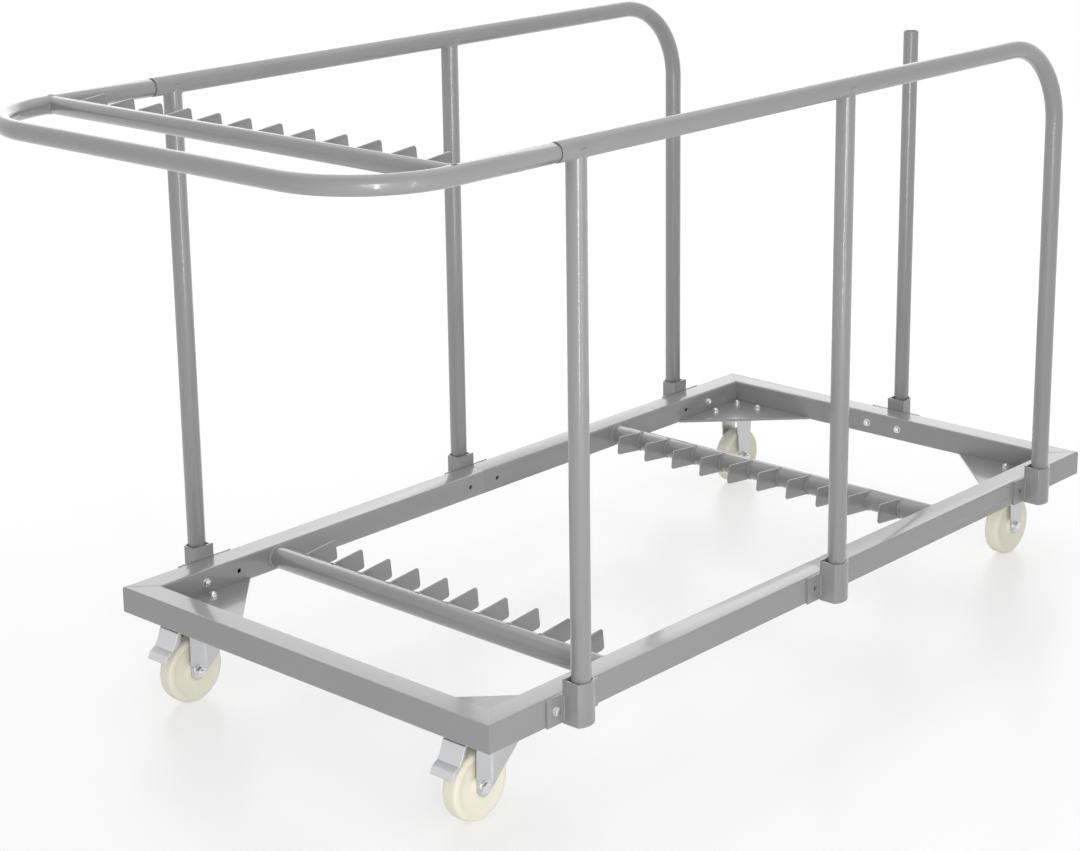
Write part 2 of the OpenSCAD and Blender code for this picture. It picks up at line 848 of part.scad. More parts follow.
base_front_half();
base_rear_half();
splice_tubes();
corner_gussets();
lower_bar(-front_bar_reach);  // front_lower_bar
front_lower_fins();
lower_bar(rear_bar_reach);  // rear_lower_bar
rear_lower_fins();
upper_bar();
upper_fins_comb();
push_handle();
side_rail(1);  // side_rail_left
side_rail(-1);  // side_rail_right
side_post(-post_reach, 1);  // front_post_left
side_post(-post_reach, -1);  // front_post_right
side_post(0, 1);  // middle_post_left
side_post(0, -1);  // middle_post_right
rear_lift_out_post();
side_socket(-post_reach, 1);  // front_socket_left
side_socket(-post_reach, -1);  // front_socket_right
side_socket(0, 1);  // middle_socket_left
side_socket(0, -1);  // middle_socket_right
side_socket(post_reach, 1);  // rear_socket_left
side_socket(post_reach, -1);  // rear_socket_right
lift_out_post_socket();
socket_bolts();
socket_nuts();
caster_bolts();
caster_nuts();
swivel_plate(1);  // front_left_caster_plate
king_pin(1);  // front_left_king_pin
race_balls(1);  // front_left_race_balls
swivel_fork(1);  // front_left_fork
wheel(-1, 1);  // front_left_wheel
axle_bush(-1, 1);  // front_left_axle_bush
axle_bolt(-1, 1);  // front_left_axle_bolt
brake_pedal(1);  // front_left_brake_pedal
pedal_pin(1);  // front_left_pedal_pin
swivel_plate(-1);  // front_right_caster_plate
king_pin(-1);  // front_right_king_pin
race_balls(-1);  // front_right_race_balls
swivel_fork(-1);  // front_right_fork
wheel(-1, -1);  // front_right_wheel
axle_bush(-1, -1);  // front_right_axle_bush
axle_bolt(-1, -1);  // front_right_axle_bolt
brake_pedal(-1);  // front_right_brake_pedal
pedal_pin(-1);  // front_right_pedal_pin
fixed_plate(1);  // rear_left_caster_plate
fixed_fork(1);  // rear_left_fork
wheel(1, 1);  // rear_left_wheel
axle_bush(1, 1);  // rear_left_axle_bush
axle_bolt(1, 1);  // rear_left_axle_bolt
fixed_plate(-1);  // rear_right_caster_plate
fixed_fork(-1);  // rear_right_fork
wheel(1, -1);  // rear_right_wheel
axle_bush(1, -1);  // rear_right_axle_bush
axle_bolt(1, -1);  // rear_right_axle_bolt
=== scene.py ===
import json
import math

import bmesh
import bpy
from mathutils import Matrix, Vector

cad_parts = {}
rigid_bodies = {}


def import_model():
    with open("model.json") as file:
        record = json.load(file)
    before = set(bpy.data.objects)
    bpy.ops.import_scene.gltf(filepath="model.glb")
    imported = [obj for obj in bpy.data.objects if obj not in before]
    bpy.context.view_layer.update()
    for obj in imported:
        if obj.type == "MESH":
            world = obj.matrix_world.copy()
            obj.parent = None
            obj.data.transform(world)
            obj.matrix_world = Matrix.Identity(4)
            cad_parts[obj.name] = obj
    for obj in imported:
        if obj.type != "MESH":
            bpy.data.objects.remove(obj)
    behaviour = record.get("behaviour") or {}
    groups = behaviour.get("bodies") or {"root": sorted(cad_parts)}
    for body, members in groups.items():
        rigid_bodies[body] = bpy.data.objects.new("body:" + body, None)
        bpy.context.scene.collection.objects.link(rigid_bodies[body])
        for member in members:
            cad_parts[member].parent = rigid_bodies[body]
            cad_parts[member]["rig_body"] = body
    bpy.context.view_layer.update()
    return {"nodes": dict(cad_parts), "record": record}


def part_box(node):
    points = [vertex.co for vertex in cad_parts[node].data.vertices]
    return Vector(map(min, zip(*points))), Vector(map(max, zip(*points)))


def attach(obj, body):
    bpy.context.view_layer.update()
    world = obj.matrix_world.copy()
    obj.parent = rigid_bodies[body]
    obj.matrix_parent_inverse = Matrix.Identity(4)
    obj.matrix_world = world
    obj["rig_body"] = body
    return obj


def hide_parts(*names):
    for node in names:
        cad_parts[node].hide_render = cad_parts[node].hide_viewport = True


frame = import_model()

# %% [markdown]
# # A banquet table trolley
# The trolley is a welded steel frame on four casters. Round folding tables stand on edge in it,
# and three combed bars keep them apart. The exact solids come from the CAD frame that is loaded
# above. This script dresses them: it builds the rounded tubes, welds, wheels and fasteners again
# with softer edges than the solids have, and gives each surface its finish.
# Everything is in metres: +X runs from the push handle to the rear, +Z is up.

MM = 0.001

# %% [markdown]
# ## The camera
# The photograph was taken from the front right, a little above the push handle. The lens and
# the place come from a fit of the base frame's edges, the posts and the rails. A camera in
# Blender looks along its own -Z axis, so its matrix is made of a right, an up and a back vector.
# The posts stay nearly upright in the photograph although the camera looks down, because its
# lens was shifted. A part of that shift is used here.

# %% Camera
IMAGE_W = 1080
FOCAL_PX = 2379.8
SENSOR = 36.0
SHIFT_PX = -108.5
YAW, PITCH, ROLL = (math.radians(a) for a in (47.422, 14.979, -0.788))
CAMERA_AT = (-3.2566, -2.8510, 1.7985)

forward = Vector((math.sin(YAW) * math.cos(PITCH), math.cos(YAW) * math.cos(PITCH),
                  -math.sin(PITCH)))
level_right = Vector((math.cos(YAW), -math.sin(YAW), 0))
level_up = level_right.cross(forward)
right = math.cos(ROLL) * level_right + math.sin(ROLL) * level_up
up = math.cos(ROLL) * level_up - math.sin(ROLL) * level_right

camera_data = bpy.data.cameras.new("photo_camera")
camera_data.sensor_width = SENSOR
camera_data.lens = FOCAL_PX * SENSOR / IMAGE_W
camera_data.shift_y = SHIFT_PX / IMAGE_W
camera_data.clip_end = 100
camera = bpy.data.objects.new("photo_camera", camera_data)
camera.matrix_world = Matrix.Translation(CAMERA_AT) @ Matrix(
    (right, up, -forward)).transposed().to_4x4()
bpy.context.scene.collection.objects.link(camera)
bpy.context.scene.camera = camera
print("Lens in mm:", round(camera_data.lens, 2))

# %% [markdown]
# ## Shader maths as Python
# A material is a small program. Writing it as Python expressions keeps it readable: a Wire
# stands for one output socket, and adding or multiplying wires adds a Math node to the tree.
# Any other node comes from one method, so that each line says the node's type, its settings
# and what goes into its sockets. Its outputs come back as a list, so the numbers of the outputs
# that are used have names here.

# %% Wires and finishes
CAMERA_RAY, GLOSSY_RAY, TRANSMISSION_RAY = 0, 3, 6
OBJECT_PLACE = 3
MIX_FACTOR, MIX_FIRST, MIX_SECOND, MIX_RESULT = 0, 6, 7, 2


class Wire:
    """One output socket of a finish, with Python's operators as Math nodes."""

    def __init__(self, finish, socket):
        self.finish = finish
        self.socket = socket

    def __add__(self, other):
        return self.finish.math("ADD", self, other)

    def __mul__(self, other):
        return self.finish.math("MULTIPLY", self, other)

    __radd__ = __add__
    __rmul__ = __mul__


class Finish:
    """A material, or the world, with one method that makes any node."""

    def __init__(self, owner):
        owner.use_nodes = True
        self.owner = owner
        self.tree = owner.node_tree
        self.tree.nodes.clear()

    def node(self, kind, settings=None, sockets=None):
        made = self.tree.nodes.new(kind)
        for name, value in (settings or {}).items():
            setattr(made, name, value)
        for name, value in (sockets or {}).items():
            if isinstance(value, Wire):
                self.tree.links.new(value.socket, made.inputs[name])
            else:
                made.inputs[name].default_value = value
        return [Wire(self, socket) for socket in made.outputs]

    def math(self, operation, first, second):
        return self.node("ShaderNodeMath", {"operation": operation}, {0: first, 1: second})[0]

    def mix(self, factor, first, second):
        """A colour between two colours."""
        return self.node("ShaderNodeMix", {"data_type": "RGBA"}, {
            MIX_FACTOR: factor, MIX_FIRST: first, MIX_SECOND: second})[MIX_RESULT]

    def mix_shader(self, factor, first, second):
        return self.node("ShaderNodeMixShader", {}, {0: factor, 1: first, 2: second})[0]

    def place(self):
        """Where a point lies in its own object, in metres."""
        return self.node("ShaderNodeTexCoord")[OBJECT_PLACE]

    def noise(self, place, scale, detail=2.0):
        """Cloudy values from 0 to 1. The scale is in waves per metre."""
        return self.node("ShaderNodeTexNoise", {}, {
            "Vector": place, "Scale": scale, "Detail": detail})[0]

    def relief(self, height, strength, depth):
        """A fine unevenness that only bends the light."""
        return self.node("ShaderNodeBump", {}, {
            "Strength": strength, "Distance": depth, "Height": height})[0]

    def seen(self):
        """1 for rays from the camera, from gloss and through glass, 0 for all others."""
        ray = self.node("ShaderNodeLightPath")
        seen = self.math("MAXIMUM", ray[CAMERA_RAY], ray[GLOSSY_RAY])
        return self.math("MAXIMUM", seen, ray[TRANSMISSION_RAY])

    def surface(self, shader):
        kind = "World" if isinstance(self.owner, bpy.types.World) else "Material"
        self.node("ShaderNodeOutput" + kind, {}, {"Surface": shader})
        return self.owner

    def principled(self, sockets):
        return self.surface(self.node("ShaderNodeBsdfPrincipled", {}, sockets)[0])


def grey(value):
    return (value, value, value, 1)


# %% [markdown]
# ## Studio
# The photograph is a cut-out on pure white, so the studio is a white room. Wide soft lamps hang
# overhead, behind the trolley and in front of it, and two tall narrow ones in front of the right
# side draw the thin light line down each post. The room gives less light than it shows: it is
# white to the camera and in gloss, and dimmer for every other ray. The floor shows white far
# away and keeps a part of the shadow near the trolley.

# %% World
ROOM_LEVEL = 0.515
world = bpy.data.worlds.new("white_room")
bpy.context.scene.world = world
room = Finish(world)
level = ROOM_LEVEL + (1 - ROOM_LEVEL) * room.seen()
room.surface(room.node("ShaderNodeBackground", {}, {"Color": grey(1), "Strength": level})[0])
print("The room lights at", ROOM_LEVEL, "and shows at 1")

# %% Floor
FLOOR_REACH = 30.0
SHADED_TO, WHITE_FROM = 1.2, 3.2
NEAR_GLOW = 0.6


def floor_finish():
    """White far away, a little shaded and a little glossy near the trolley."""
    coat = Finish(bpy.data.materials.new("white_floor"))
    seen = coat.seen()
    reach = coat.node("ShaderNodeVectorMath", {"operation": "LENGTH"}, {0: coat.place()})[1]
    far = coat.node("ShaderNodeMapRange", {"interpolation_type": "SMOOTHSTEP"}, {
        "Value": reach, "From Min": SHADED_TO, "From Max": WHITE_FROM})[0]
    plain = coat.node("ShaderNodeBsdfDiffuse", {}, {"Color": grey(0.9)})[0]
    bright = coat.node("ShaderNodeBsdfDiffuse", {}, {"Color": grey(1)})[0]
    glow = coat.node("ShaderNodeEmission", {}, {"Color": grey(1), "Strength": 1.0})[0]
    shown = coat.mix_shader(NEAR_GLOW + (1 - NEAR_GLOW) * far, bright, glow)
    gloss = coat.node("ShaderNodeBsdfGlossy", {}, {"Color": grey(1), "Roughness": 0.3})[0]
    edge = coat.node("ShaderNodeFresnel", {}, {"IOR": 1.22})[0]
    shown = coat.mix_shader(edge, shown, gloss)
    return coat.surface(coat.mix_shader(seen, plain, shown))


floor_mesh = bpy.data.meshes.new("floor")
floor_bm = bmesh.new()
bmesh.ops.create_grid(floor_bm, x_segments=1, y_segments=1, size=FLOOR_REACH)
floor_bm.to_mesh(floor_mesh)
floor_bm.free()
floor_mesh.materials.append(floor_finish())
floor = bpy.data.objects.new("floor", floor_mesh)
bpy.context.scene.collection.objects.link(floor)
print("The floor is white from", WHITE_FROM, "m outwards")

# %% Lamps
LAMPS = (  # name, place, target, width and height, watts
    ("overhead", (0.6, 0.6, 4.2), (0.4, 0.4, 0), (4.5, 4.0), 36),
    ("rear_wall", (4.6, 4.4, 3.0), (0, 0, 0.4), (7.0, 3.4), 70),
    ("front_fill", (-4.4, -5.0, 2.2), (0.2, 0, 0.6), (2.5, 2.5), 57),
    ("front_post_line", (-2.22, -2.24, 0.95), (-0.59, -0.48, 0.95), (0.16, 1.9), 18),
    ("rear_post_line", (-0.96, -2.09, 0.95), (0.82, -0.48, 0.95), (0.08, 1.9), 5),
)
for name, place, target, size, watts in LAMPS:
    lamp = bpy.data.lights.new(name, "AREA")
    lamp.shape = "RECTANGLE"
    lamp.size, lamp.size_y = size
    lamp.energy = watts
    holder = bpy.data.objects.new(name, lamp)
    holder.location = place
    holder.rotation_mode = "QUATERNION"
    holder.rotation_quaternion = (Vector(target) - Vector(place)).to_track_quat("-Z", "Y")
    bpy.context.scene.collection.objects.link(holder)
bpy.context.scene.view_settings.view_transform = "Standard"
print("Lamps:", len(LAMPS))

# %% [markdown]
# ## Finishes
# The steel is powder coated in a silver grey: an even, satin film with a faint orange-peel
# surface. The casters are zinc plated, which is a bright metal with a soft milky grain, and the
# wheels are cream nylon.


# %% Powder coat
def powder_coat():
    coat = Finish(bpy.data.materials.new("silver_grey_powder_coat"))
    place = coat.place()
    drift = coat.noise(place, 7.0)
    speck = coat.noise(place, 420.0, 1.0)
    peel = coat.noise(place, 1100.0, 1.0)
    return coat.principled({
        "Base Color": coat.mix(0.35 * drift + 0.3 * speck, grey(0.26), grey(0.335)),
        "Roughness": 0.29 + 0.1 * drift, "Normal": coat.relief(peel, 0.25, 0.06 * MM),
        "Coat Weight": 0.8, "Coat Roughness": 0.12})


# %% Zinc
def zinc_plate(name, shade, rough):
    plate = Finish(bpy.data.materials.new(name))
    place = plate.place()
    cloud = plate.noise(place, 60.0, 4.0)
    grain = plate.noise(place, 1500.0, 1.0)
    tint = plate.mix(cloud, (shade * 0.9, shade * 0.91, shade * 0.93, 1),
                     (shade, shade, shade * 1.01, 1))
    return plate.principled({
        "Base Color": tint, "Metallic": 1.0, "Roughness": rough + 0.16 * cloud,
        "Normal": plate.relief(grain, 0.2, 0.04 * MM)})


# %% Cream nylon
def cream_nylon():
    nylon = Finish(bpy.data.materials.new("cream_nylon"))
    place = nylon.place()
    cloud = nylon.noise(place, 25.0, 3.0)
    scuff = nylon.noise(place, 700.0, 2.0)
    return nylon.principled({
        "Base Color": nylon.mix(cloud, (0.89, 0.85, 0.69, 1), (0.92, 0.89, 0.76, 1)),
        "Roughness": 0.36 + 0.1 * cloud, "Normal": nylon.relief(scuff, 0.15, 0.05 * MM),
        "Subsurface Weight": 0.15, "Subsurface Scale": 4 * MM})


finishes = {
    "powder_coated_steel": powder_coat(),
    "zinc_sheet": zinc_plate("zinc_plated_sheet", 0.66, 0.34),
    "zinc_fasteners": zinc_plate("zinc_plated_fasteners", 0.80, 0.20),
    "cream_plastic": cream_nylon(),
}

# %% [markdown]
# ## Dressing the CAD solids
# Each CAD node gets the finish of its material slot.

# %% Finishes on the nodes
slot_of = {part["node"]: part["material_slot"] for part in frame["record"]["subparts"]}
for name, slot in slot_of.items():
    for place in frame["nodes"][name].material_slots:
        place.material = finishes[slot]
print("Nodes with a finish:", len(slot_of))

# %% [markdown]
# ## Making a piece
# Every piece goes through the same last steps: doubled points are merged, the faces are turned
# outwards, the shading is smooth except over real edges, and the piece is put on the CAD body
# that carries it. Where it stands for a CAD node, that node is hidden. On a piece with rounded
# edges the shading breaks at smaller angles than on a plain one.

# %% Piece helper
EDGE_ANGLE, ROUNDED_EDGE_ANGLE = 32, 20
POINT_GAP = 0.001 * MM
SIDES = (("left", 1), ("right", -1))
CASTERS = [(end, side, sign) for end in ("front", "rear") for side, sign in SIDES]
SOCKETS = [(end, side, sign) for end in ("front", "middle", "rear") for side, sign in SIDES]


def make_piece(name, bm, body, slot, *nodes, edge_angle=EDGE_ANGLE):
    bmesh.ops.remove_doubles(bm, verts=bm.verts, dist=2 * POINT_GAP)
    bmesh.ops.recalc_face_normals(bm, faces=bm.faces)
    mesh = bpy.data.meshes.new(name)
    bm.to_mesh(mesh)
    bm.free()
    mesh.shade_smooth()
    mesh.set_sharp_from_angle(angle=math.radians(edge_angle))
    mesh.materials.append(finishes[slot])
    piece = bpy.data.objects.new(name, mesh)
    bpy.context.scene.collection.objects.link(piece)
    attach(piece, body)
    if nodes:
        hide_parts(*nodes)
    print(name, "has", len(mesh.polygons), "faces")
    return piece


def centre(node):
    low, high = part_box(node)
    return (low + high) / 2


# %% [markdown]
# ## Small mesh tools
# Most bmesh operators give back a mix of points, edges and faces, so two short functions sort
# them. The others are the cuts and the roundings that several pieces share.


# %% Mesh helpers
def points_in(geometry):
    return [g for g in geometry if isinstance(g, bmesh.types.BMVert)]


def edges_in(geometry):
    return [g for g in geometry if isinstance(g, bmesh.types.BMEdge)]


def everything(bm):
    return bm.verts[:] + bm.edges[:] + bm.faces[:]


def sharp_edges(bm, degrees):
    return [e for e in bm.edges
            if e.is_manifold and e.calc_face_angle(0) > math.radians(degrees)]


def round_edges(bm, edges, width, segments, clamp=False):
    bmesh.ops.bevel(bm, geom=edges, offset=width, segments=segments, profile=0.5,
                    affect="EDGES", clamp_overlap=clamp, material=-1)


def join_flat_faces(bm):
    bmesh.ops.dissolve_limit(bm, angle_limit=math.radians(0.4), verts=bm.verts,
                             edges=bm.edges, delimit=set())


def cut(bm, place, way, clear=False):
    """Cuts along a plane. With clear, what lies beyond it goes away."""
    bmesh.ops.bisect_plane(bm, geom=everything(bm), dist=POINT_GAP, plane_co=place,
                           plane_no=way, clear_outer=clear)


def close_holes(bm):
    bmesh.ops.holes_fill(bm, edges=[e for e in bm.edges if e.is_boundary])


def raised(bm, faces, way):
    """Extrudes faces and gives back all that was made."""
    made = bmesh.ops.extrude_face_region(bm, geom=faces)["geom"]
    bmesh.ops.translate(bm, vec=way, verts=points_in(made))
    return made


# %% [markdown]
# ## Soft edges on pressed and cut steel
# Real sheet and square tube have no knife edges: they are rolled, sheared and then coated. The
# CAD solids are exact but sharp. A copy of a solid's mesh is merged, its flat triangles are
# joined to whole faces, and its sharp edges get a narrow bevel, which catches a light line.

# %% Softened copies
SHARP_ANGLE = 40
FINE_EDGE, SHEET_EDGE = 0.5 * MM, 0.6 * MM


def merged_copy(node):
    bm = bmesh.new()
    bm.from_mesh(frame["nodes"][node].data)
    bmesh.ops.remove_doubles(bm, verts=bm.verts, dist=POINT_GAP)
    return bm


def softened(node, width, first=None):
    """Rounds a copy of a CAD node. The function first may change the copy before that."""
    bm = merged_copy(node)
    if first:
        first(bm)
    join_flat_faces(bm)
    round_edges(bm, sharp_edges(bm, SHARP_ANGLE), width, segments=2, clamp=True)
    home = frame["nodes"][node]["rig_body"]
    return make_piece(node + "_finished", bm, home, slot_of[node], node,
                      edge_angle=ROUNDED_EDGE_ANGLE)


for name in ("base_front_half", "base_rear_half"):
    softened(name, FINE_EDGE)
base_low, base_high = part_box("base_front_half")[0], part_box("base_rear_half")[1]

# %% [markdown]
# ## Corner gussets
# Three bolts hold each caster, and the plate's fourth hole stays empty. No hole shows in the
# photographed gussets there, so that one is closed. Each loose solid of the nuts' CAD node says
# where one nut sits, and the fourth hole is at the missing corner of their rectangle.

# %% Loose solids and gussets
PLATE_REACH = 80 * MM
BOLT_APART = 10 * MM
HOLE_REACH = 7 * MM


def islands(node):
    """The lowest and the highest corner of each loose solid of a node."""
    bm = merged_copy(node)
    reached, boxes = set(), []
    for start in bm.verts:
        if start in reached:
            continue
        reached.add(start)
        solid = [start]
        for point in solid:
            beyond = [edge.other_vert(point) for edge in point.link_edges]
            fresh = [other for other in beyond if other not in reached]
            reached.update(fresh)
            solid += fresh
        boxes.append((Vector([min(v.co[i] for v in solid) for i in range(3)]),
                      Vector([max(v.co[i] for v in solid) for i in range(3)])))
    bm.free()
    return boxes


spare = []
nuts_at = [(low + high).xy / 2 for low, high in islands("caster_nuts")]
for end, side, _ in CASTERS:
    middle = centre("%s_%s_caster_plate" % (end, side)).xy
    near = [spot for spot in nuts_at if (spot - middle).length < PLATE_REACH]
    corners = [Vector((2 * middle.x - spot.x, 2 * middle.y - spot.y)) for spot in near]
    spare += [c for c in corners if all((c - spot).length > BOLT_APART for spot in near)]
print("Spare holes:", [tuple(round(v, 3) for v in spot) for spot in spare])


def without_spare_holes(bm):
    for spot in spare:
        wall = [f for f in bm.faces
                if all((v.co.xy - spot).length < HOLE_REACH for v in f.verts)]
        bmesh.ops.delete(bm, geom=wall, context="FACES_ONLY")
        close_holes(bm)


softened("corner_gussets", SHEET_EDGE, first=without_spare_holes)

# %% [markdown]
# ## Post sockets
# A socket is a sleeve on a flanged plate. The plate comes from the CAD solid, which is cut just
# outside its face. The sleeve is drawn again, because the photographed one has flat sides that
# meet a shallow front at clear corners, and its front wall lies close to the post.

# %% Sleeve
SLEEVE_HALF = 21.4 * MM
SLEEVE_SIDE = 33.5 * MM
SLEEVE_FRONT = 41 * MM
SLEEVE_WALL = 3.6 * MM
SLEEVE_FLOOR = 3 * MM
SLEEVE_DROP = 4 * MM
SLEEVE_TOP = 2 * MM
SLEEVE_SUNK = 0.05 * MM
SLEEVE_EDGE, SLEEVE_EDGE_ANGLE = 0.8 * MM, 25
ARC_STEPS = 16
sagitta = SLEEVE_FRONT - SLEEVE_SIDE
arc_r = (SLEEVE_HALF ** 2 + sagitta ** 2) / (2 * sagitta)
arc_half = math.asin(SLEEVE_HALF / arc_r)
print("Radius of a sleeve's front in mm:", round(arc_r / MM, 1))


def sleeve(at, sign, height):
    """A D-shaped cup. It stands on the point at and looks along sign times Y."""
    bm = bmesh.new()
    corner = bm.verts.new(at + Vector((-SLEEVE_HALF, sign * SLEEVE_SIDE, 0)))
    arc = bmesh.ops.spin(bm, geom=[corner], axis=(0, 0, -sign), angle=2 * arc_half,
                         cent=at + Vector((0, sign * (SLEEVE_FRONT - arc_r), 0)),
                         steps=ARC_STEPS, use_duplicate=False)["geom_last"]
    heels = [bm.verts.new(at + Vector((way * SLEEVE_HALF, 0, 0))) for way in (-1, 1)]
    bm.edges.new((corner, heels[0]))
    bm.edges.new((points_in(arc)[0], heels[1]))
    bm.edges.new(heels)
    outline = bmesh.ops.edgeloop_fill(bm, edges=bm.edges[:])["faces"]
    made = raised(bm, outline, (0, 0, SLEEVE_FLOOR))
    top = [g for g in made if isinstance(g, bmesh.types.BMFace)]
    ring = bmesh.ops.inset_region(bm, faces=top, thickness=SLEEVE_WALL,
                                  use_even_offset=True)["faces"]
    raised(bm, ring, (0, 0, height - SLEEVE_FLOOR))
    bmesh.ops.delete(bm, geom=ring, context="FACES_ONLY")
    bmesh.ops.recalc_face_normals(bm, faces=bm.faces)
    round_edges(bm, sharp_edges(bm, SLEEVE_EDGE_ANGLE), SLEEVE_EDGE, segments=3, clamp=True)
    return bm


# %% Sockets
PLATE_T = 3.5 * MM
PLATE_CUT = 0.2 * MM

for end, side, sign in SOCKETS:
    socket = "%s_socket_%s" % (end, side)
    face = base_high.y if sign > 0 else base_low.y

    def plate_only(bm, reach=abs(face) + PLATE_T + PLATE_CUT, out=Vector((0, sign, 0))):
        cut(bm, out * reach, out, clear=True)
        close_holes(bm)

    softened(socket, SHEET_EDGE, first=plate_only)
    low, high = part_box(socket)
    at = Vector(((low.x + high.x) / 2, face - sign * SLEEVE_SUNK, low.z - SLEEVE_DROP))
    make_piece(socket + "_sleeve", sleeve(at, sign, high.z - SLEEVE_TOP - at.z), "frame",
               "powder_coated_steel", edge_angle=ROUNDED_EDGE_ANGLE)
softened("lift_out_post_socket", SHEET_EDGE)

# %% [markdown]
# ## Caster plates and forks
# The CAD's swivel forks have a square-edged rib. A pressed rib has soft flanks, and in the
# photograph it stands upright behind the axle. So the old rib is flattened in the copy, the legs
# are cut into narrow strips, and the strips' points are moved outwards along a smooth curve.
# The rib runs in and out over a short way at its ends.

# %% Plates and forks
# Across from the hub: a leg's two faces, and how far the old rib stands out of them.
LEG_IN, LEG_OUT, RIB_OUT = 21 * MM, 24 * MM, 2.5 * MM
NEAR_FACE = 0.05 * MM
# The new rib: its line behind the hub, half width and height, its upper end and its run-in.
RIB_X, RIB_HALF, RIB_HIGH = 19 * MM, 6 * MM, 2.5 * MM
RIB_END, RIB_RUN = 75 * MM, 14 * MM
# The leg's round foot and slanting edge, where the rib starts.
LEG_R, SLANT = 17 * MM, math.radians(42.9)
RIB_CUTS = 4
STRIP, STRIPS_BELOW, STRIPS_ABOVE = 6 * MM, 1, 11


def upright_rib(bm, hub):
    for point in bm.verts:
        out = point.co.y - hub.y
        for old, new in ((LEG_OUT + RIB_OUT, LEG_OUT), (LEG_IN + RIB_OUT, LEG_IN)):
            if abs(abs(out) - old) < NEAR_FACE:
                point.co.y = hub.y + math.copysign(new, out)
    bmesh.ops.dissolve_degenerate(bm, dist=0.01 * MM, edges=bm.edges)
    join_flat_faces(bm)
    for i in range(-RIB_CUTS, RIB_CUTS + 1):
        cut(bm, hub + Vector((RIB_X + i * RIB_HALF / RIB_CUTS, 0, 0)), (1, 0, 0))
    for i in range(-STRIPS_BELOW, STRIPS_ABOVE + 1):
        cut(bm, hub + Vector((0, 0, i * STRIP)), (0, 0, 1))
    for point in bm.verts:
        local = point.co - hub
        across = (local.x - RIB_X) / RIB_HALF
        edge_z = (local.x * math.sin(SLANT) - LEG_R) / math.cos(SLANT)
        run_in = min(max((local.z - edge_z) / RIB_RUN, 0), 1)
        run_out = min(max((RIB_END - local.z) / RIB_RUN, 0), 1)
        in_leg = LEG_IN - 2 * NEAR_FACE < abs(local.y) < LEG_OUT + 2 * NEAR_FACE
        if abs(across) < 1 and in_leg:
            rise = RIB_HIGH * math.cos(across * math.pi / 2) ** 2 * run_in * run_out
            point.co.y += math.copysign(rise, local.y)


for end, side, _ in CASTERS:
    hub = centre("%s_%s_wheel" % (end, side))
    softened("%s_%s_caster_plate" % (end, side), FINE_EDGE)
    softened("%s_%s_fork" % (end, side), SHEET_EDGE,
             first=(lambda bm, at=hub: upright_rib(bm, at)) if end == "front" else None)

# %% [markdown]
# ## Round tube
# A tube is a circle that is pushed along a straight run and spun round a bend, which is what a
# tube bender does. The wall comes from Solidify, so that an open end shows its thickness, and a
# small bevel softens the cut ends.

# %% Tube helpers
TUBE_SIDES = 48
BEND_STEP, LEAST_STEPS = 3, 4  # degrees, and steps in a bend


def push(bm, ring, way):
    made = bmesh.ops.extrude_edge_only(bm, edges=ring)["geom"]
    bmesh.ops.translate(bm, vec=way, verts=points_in(made))
    return [e for e in edges_in(made) if all(v in made for v in e.verts) and e.is_boundary]


def bend(bm, ring, about, axis, degrees):
    made = bmesh.ops.spin(bm, geom=ring, cent=about, axis=axis, angle=math.radians(degrees),
                          steps=max(LEAST_STEPS, round(abs(degrees) / BEND_STEP)),
                          use_duplicate=False)
    return edges_in(made["geom_last"])


def facing(place, way):
    """The matrix that puts local +Z along a way."""
    turn = Vector(way).to_track_quat("Z", "Y").to_matrix().to_4x4()
    return Matrix.Translation(place) @ turn


def start_ring(bm, place, way, radius, sides=TUBE_SIDES):
    made = bmesh.ops.create_circle(bm, segments=sides, radius=radius, matrix=facing(place, way))
    return list(dict.fromkeys(e for v in made["verts"] for e in v.link_edges))


def ring_points(ring):
    return list(dict.fromkeys(v for e in ring for v in e.verts))


def straight_run(place, run, radius):
    """A straight pipe of no thickness, and the ring at its far end."""
    bm = bmesh.new()
    return bm, push(bm, start_ring(bm, place, run, radius), run)


def add_wall(piece, thickness, offset, even, rim_width, rim_angle):
    wall = piece.modifiers.new("wall", "SOLIDIFY")
    wall.thickness = thickness
    wall.offset = offset
    wall.use_even_offset = even
    rim = piece.modifiers.new("rim", "BEVEL")
    rim.width = rim_width
    rim.segments = 2
    rim.limit_method = "ANGLE"
    rim.angle_limit = math.radians(rim_angle)


def tube_piece(name, bm, wall, body, *nodes):
    piece = make_piece(name, bm, body, "powder_coated_steel", *nodes)
    add_wall(piece, wall, offset=-1, even=True, rim_width=FINE_EDGE, rim_angle=55)


# %% [markdown]
# ## Side frames
# Each side is one rail that turns down at the rear into its own post, with two more posts
# welded under it. A post's top is cut to a saddle, so that it meets the rail all round.

# %% Rails and posts
POST_R, TUBE_WALL = 17 * MM, 2 * MM
RAIL_BEND = 168 * MM
RAIL_LEAD = 28 * MM

for side, _ in SIDES:
    rail = "side_rail_" + side
    low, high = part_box(rail)
    axis_y = (low.y + high.y) / 2
    rail_z = high.z - POST_R
    post_x = high.x - POST_R
    rail_start = low.x - RAIL_LEAD
    bm, ring = straight_run((rail_start, axis_y, rail_z),
                            (post_x - RAIL_BEND - rail_start, 0, 0), POST_R)
    ring = bend(bm, ring, (post_x - RAIL_BEND, axis_y, rail_z - RAIL_BEND), (0, 1, 0), 90)
    push(bm, ring, (0, 0, low.z - rail_z + RAIL_BEND))
    tube_piece(rail + "_tube", bm, TUBE_WALL, "frame", rail)
    for end in ("front", "middle"):
        post = "%s_post_%s" % (end, side)
        low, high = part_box(post)
        place = centre(post)
        bm, top = straight_run((place.x, place.y, low.z), (0, 0, high.z - low.z), POST_R)
        for point in ring_points(top):
            point.co.z = rail_z - math.sqrt(max(POST_R ** 2 - (point.co.y - place.y) ** 2, 0))
        tube_piece(post + "_tube", bm, TUBE_WALL, "frame", post)

